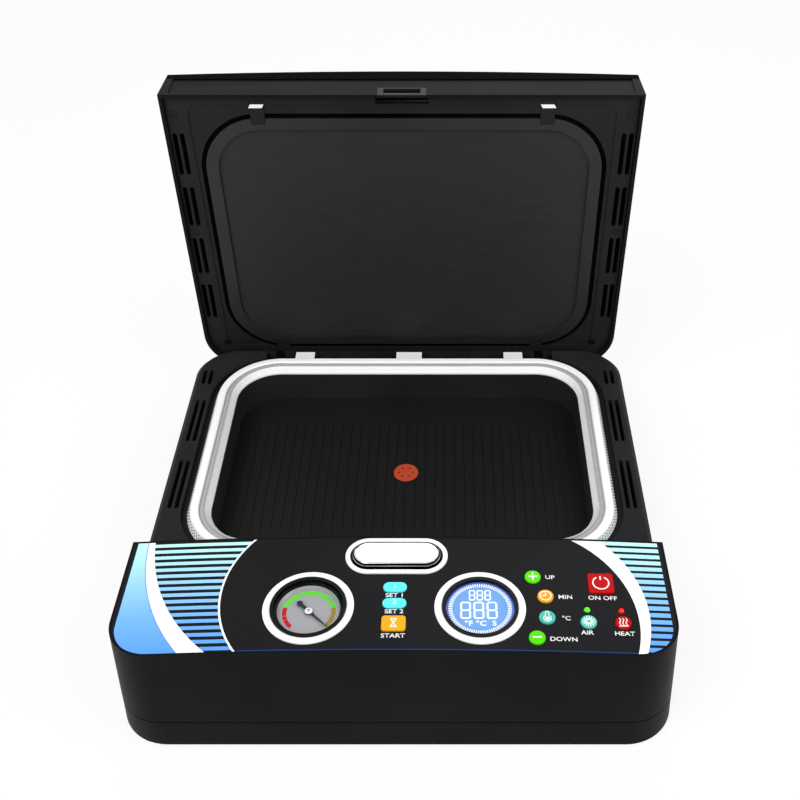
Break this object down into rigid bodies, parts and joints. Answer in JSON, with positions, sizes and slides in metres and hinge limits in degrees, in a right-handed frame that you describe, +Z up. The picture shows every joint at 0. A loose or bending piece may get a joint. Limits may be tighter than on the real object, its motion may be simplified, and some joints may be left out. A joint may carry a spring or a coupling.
{
  "type": "vacuum sublimation machine",
  "caption": "Tabletop vacuum heat press: low housing with a sloping-sided control module in front, a sealed vacuum tray behind it and a heated lid hinged at the back.",
  "frame": {"origin": "on the supporting surface, under the middle of the housing's footprint", "axes": "+X to the operator's right, +Y from the control module towards the hinge, +Z up; the lid is stored open"},
  "size_m": [0.3496, 0.383, 0.2809],
  "materials": {
    "black_plastic": "satin",
    "film": "printed, satin",
    "black_rubber": "matt",
    "hose_rubber": "matt",
    "white_silicone": "satin",
    "red_silicone": "matt",
    "steel": "zinc plated",
    "chrome": "polished",
    "coated_pan": "satin",
    "mat_rubber": "matt, ribbed",
    "aluminium": "as rolled",
    "black_aluminium": "anodised",
    "membrane_silicone": "satin",
    "motor_steel": "zinc plated",
    "board_laminate": "satin",
    "white_plastic": "gloss",
    "gloss_black": "gloss",
    "lens": "clear",
    "display_blue": "backlit",
    "dial_face": "satin",
    "needle_black": "satin",
    "key_green": "satin",
    "key_cyan": "satin",
    "key_amber": "satin",
    "key_teal": "satin",
    "key_red": "satin",
    "lamp": "clear tinted",
    "quartz": "clear",
    "insulation": "felted"
  },
  "bodies": {
    "housing": {"base_screws": "steel", "bezel_rims": "gloss_black", "button_spring": "steel", "button_well": "black_plastic", "control_board": "board_laminate", "cord_gland": "black_plastic", "deck_frame": "black_plastic", "display_lens": "lens", "display_module": "display_blue", "feet": "black_rubber", "gauge_case": "black_plastic", "gauge_dial": "dial_face", "gauge_hose": "hose_rubber", "gauge_lens": "lens", "hinge_brackets": "steel", "hinge_channel": "black_plastic", "hinge_pins": "steel", "indicator_lamps": "lamp", "key_switches": "black_plastic", "latch_bracket": "steel", "latch_pin": "steel", "lower_shell": "black_plastic", "module_shell": "black_plastic", "panel_film": "film", "port_fitting": "aluminium", "power_supply": "board_laminate", "pump_head": "aluminium", "pump_motor": "motor_steel", "pump_mount": "black_rubber", "seal_ring": "white_silicone", "tray": "coated_pan", "tray_mat": "mat_rubber", "trim_rings": "white_plastic", "vacuum_hose": "hose_rubber", "vacuum_port": "red_silicone"},
    "lid": {"lid_shell": "black_plastic", "lid_liner": "black_plastic", "membrane_frame": "black_aluminium", "membrane": "membrane_silicone", "frame_clips": "black_plastic", "lid_screws": "steel", "striker": "steel", "hinge_arms": "steel", "reflector": "aluminium", "heating_elements": "quartz", "insulation_pad": "insulation"},
    "button": {"release_button": "chrome", "button_plunger": "black_plastic"},
    "latch": {"latch_hook": "steel"},
    "needle": {"gauge_needle": "needle_black"},
    "key_decrease": {"key_decrease": "key_green"},
    "key_heating": {"key_heating": "key_red"},
    "key_increase": {"key_increase": "key_green"},
    "key_power": {"key_power": "key_red"},
    "key_preset_1": {"key_preset_1": "key_cyan"},
    "key_preset_2": {"key_preset_2": "key_cyan"},
    "key_temperature": {"key_temperature": "key_teal"},
    "key_time": {"key_time": "key_amber"},
    "key_timing": {"key_timing": "key_amber"},
    "key_vacuum": {"key_vacuum": "key_teal"}
  },
  "joints": [
    {"name": "lid_hinge", "type": "hinge", "parent": "housing", "child": "lid", "pos_m": [0, 0.1612, 0.041], "axis": [1, 0, 0], "range_deg": [0, 87]},
    {"name": "button_press", "type": "slide", "parent": "housing", "child": "button", "axis": [0, 0, -1], "range_m": [0, 0.0035], "stiffness_N_per_m": 500, "springref_m": -0.003, "deforming": ["button_spring"]},
    {"name": "latch_pivot", "type": "hinge", "parent": "housing", "child": "latch", "pos_m": [0, -0.0855, 0.044], "axis": [1, 0, 0], "range_deg": [0, 23]},
    {"name": "needle_turn", "type": "hinge", "parent": "housing", "child": "needle", "pos_m": [-0.0515, -0.1355, 0.084], "axis": [0, 0, 1], "range_deg": [0, 270], "stiffness_Nm_per_rad": 0.0002, "springref_deg": -28.65},
    {"name": "decrease_press", "type": "slide", "parent": "housing", "child": "key_decrease", "axis": [0, 0, -1], "range_m": [0, 0.0008], "stiffness_N_per_m": 800, "springref_m": -0.0006},
    {"name": "heating_press", "type": "slide", "parent": "housing", "child": "key_heating", "axis": [0, 0, -1], "range_m": [0, 0.0008], "stiffness_N_per_m": 800, "springref_m": -0.0006},
    {"name": "increase_press", "type": "slide", "parent": "housing", "child": "key_increase", "axis": [0, 0, -1], "range_m": [0, 0.0008], "stiffness_N_per_m": 800, "springref_m": -0.0006},
    {"name": "power_press", "type": "slide", "parent": "housing", "child": "key_power", "axis": [0, 0, -1], "range_m": [0, 0.0008], "stiffness_N_per_m": 800, "springref_m": -0.0006},
    {"name": "preset_1_press", "type": "slide", "parent": "housing", "child": "key_preset_1", "axis": [0, 0, -1], "range_m": [0, 0.0008], "stiffness_N_per_m": 800, "springref_m": -0.0006},
    {"name": "preset_2_press", "type": "slide", "parent": "housing", "child": "key_preset_2", "axis": [0, 0, -1], "range_m": [0, 0.0008], "stiffness_N_per_m": 800, "springref_m": -0.0006},
    {"name": "temperature_press", "type": "slide", "parent": "housing", "child": "key_temperature", "axis": [0, 0, -1], "range_m": [0, 0.0008], "stiffness_N_per_m": 800, "springref_m": -0.0006},
    {"name": "time_press", "type": "slide", "parent": "housing", "child": "key_time", "axis": [0, 0, -1], "range_m": [0, 0.0008], "stiffness_N_per_m": 800, "springref_m": -0.0006},
    {"name": "timing_press", "type": "slide", "parent": "housing", "child": "key_timing", "axis": [0, 0, -1], "range_m": [0, 0.0008], "stiffness_N_per_m": 800, "springref_m": -0.0006},
    {"name": "vacuum_press", "type": "slide", "parent": "housing", "child": "key_vacuum", "axis": [0, 0, -1], "range_m": [0, 0.0008], "stiffness_N_per_m": 800, "springref_m": -0.0006}
  ],
  "couplings": [
    {"joint": "latch_pivot", "follows": "button_press", "rad_per_m": 114.6}
  ]
}
